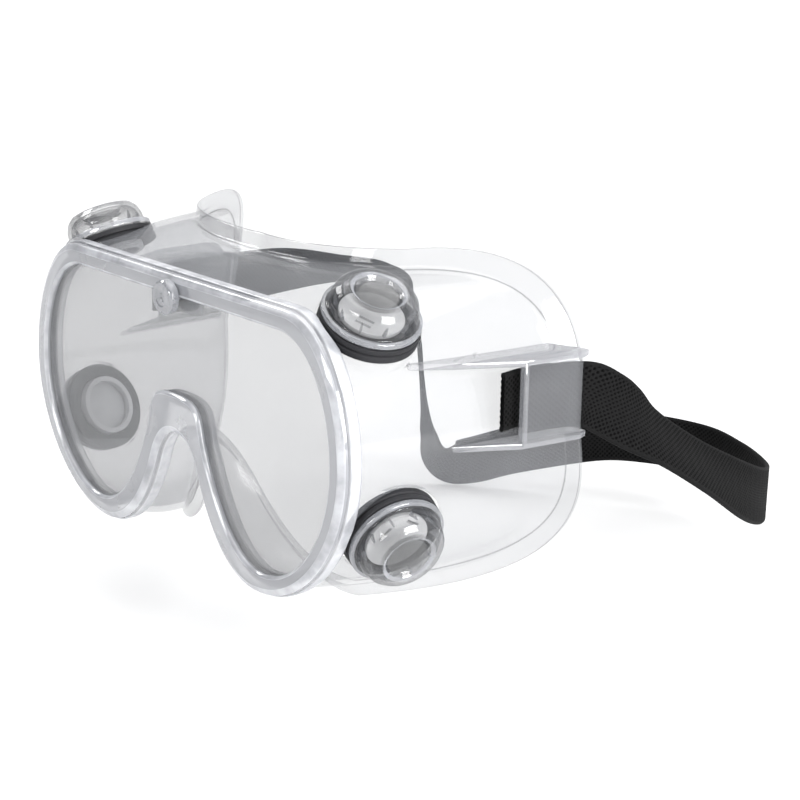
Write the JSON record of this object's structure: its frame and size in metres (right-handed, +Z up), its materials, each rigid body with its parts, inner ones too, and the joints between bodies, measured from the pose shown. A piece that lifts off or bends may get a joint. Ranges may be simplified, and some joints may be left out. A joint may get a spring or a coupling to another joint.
{
  "type": "safety goggles",
  "caption": "Clear splash goggles with a soft face-sealing frame, flat lens, covered breather vents and an elastic head strap.",
  "frame": {"origin": "centre of the opening that the face closes, on the plane of symmetry, 60 mm behind the front of the rim", "axes": "+X to the right as seen by someone facing the lens, +Y from the lens towards the wearer's head, +Z up"},
  "size_m": [0.1933, 0.2278, 0.1248],
  "materials": {
    "clear_vinyl": "clear soft vinyl, glossy",
    "clear_lens": "clear polycarbonate, polished",
    "clear_rigid_plastic": "clear rigid plastic, glossy",
    "dark_rubber": "dark grey rubber, satin",
    "soft_silicone": "translucent silicone, matte",
    "black_webbing": "black knitted elastic"
  },
  "bodies": {
    "goggles": {"frame": "clear_vinyl", "lens": "clear_lens", "lens_stud": "clear_rigid_plastic", "lens_stud_ring": "clear_rigid_plastic", "vent_gasket_upper_right": "dark_rubber", "vent_baffle_upper_right": "clear_rigid_plastic", "vent_gasket_upper_left": "dark_rubber", "vent_baffle_upper_left": "clear_rigid_plastic", "vent_gasket_lower_right": "dark_rubber", "vent_baffle_lower_right": "clear_rigid_plastic", "vent_gasket_lower_left": "dark_rubber", "vent_baffle_lower_left": "clear_rigid_plastic", "strap_end_right": "black_webbing", "strap_tail_right": "black_webbing", "strap_end_left": "black_webbing", "strap_tail_left": "black_webbing"},
    "cap_upper_right": {"vent_cap_upper_right": "clear_rigid_plastic"},
    "flap_upper_right": {"vent_flap_upper_right": "soft_silicone"},
    "cap_upper_left": {"vent_cap_upper_left": "clear_rigid_plastic"},
    "flap_upper_left": {"vent_flap_upper_left": "soft_silicone"},
    "cap_lower_right": {"vent_cap_lower_right": "clear_rigid_plastic"},
    "flap_lower_right": {"vent_flap_lower_right": "soft_silicone"},
    "cap_lower_left": {"vent_cap_lower_left": "clear_rigid_plastic"},
    "flap_lower_left": {"vent_flap_lower_left": "soft_silicone"},
    "strap": {"strap_loop": "black_webbing"}
  },
  "joints": [
    {"name": "cap_upper_right_pull", "type": "slide", "parent": "goggles", "child": "cap_upper_right", "axis": [0.4589, -0.068, 0.8859], "range_m": [0, 0.0035]},
    {"name": "flap_upper_right_lift", "type": "slide", "parent": "goggles", "child": "flap_upper_right", "axis": [0.4589, -0.068, 0.8859], "range_m": [0, 0.0012], "stiffness_N_per_m": 30, "springref_m": -0.0003},
    {"name": "cap_upper_left_pull", "type": "slide", "parent": "goggles", "child": "cap_upper_left", "axis": [-0.4589, -0.068, 0.8859], "range_m": [0, 0.0035]},
    {"name": "flap_upper_left_lift", "type": "slide", "parent": "goggles", "child": "flap_upper_left", "axis": [-0.4589, -0.068, 0.8859], "range_m": [0, 0.0012], "stiffness_N_per_m": 30, "springref_m": -0.0003},
    {"name": "cap_lower_right_pull", "type": "slide", "parent": "goggles", "child": "cap_lower_right", "axis": [0.8943, -0.1621, -0.4171], "range_m": [0, 0.0035]},
    {"name": "flap_lower_right_lift", "type": "slide", "parent": "goggles", "child": "flap_lower_right", "axis": [0.8943, -0.1621, -0.4171], "range_m": [0, 0.0012], "stiffness_N_per_m": 30, "springref_m": -0.0003},
    {"name": "cap_lower_left_pull", "type": "slide", "parent": "goggles", "child": "cap_lower_left", "axis": [-0.8943, -0.1621, -0.4171], "range_m": [0, 0.0035]},
    {"name": "flap_lower_left_lift", "type": "slide", "parent": "goggles", "child": "flap_lower_left", "axis": [-0.8943, -0.1621, -0.4171], "range_m": [0, 0.0012], "stiffness_N_per_m": 30, "springref_m": -0.0003},
    {"name": "strap_swing", "type": "hinge", "parent": "goggles", "child": "strap", "pos_m": [0, 0.022, 0.0132], "axis": [1, 0, 0], "range_deg": [-20, 30]}
  ]
}
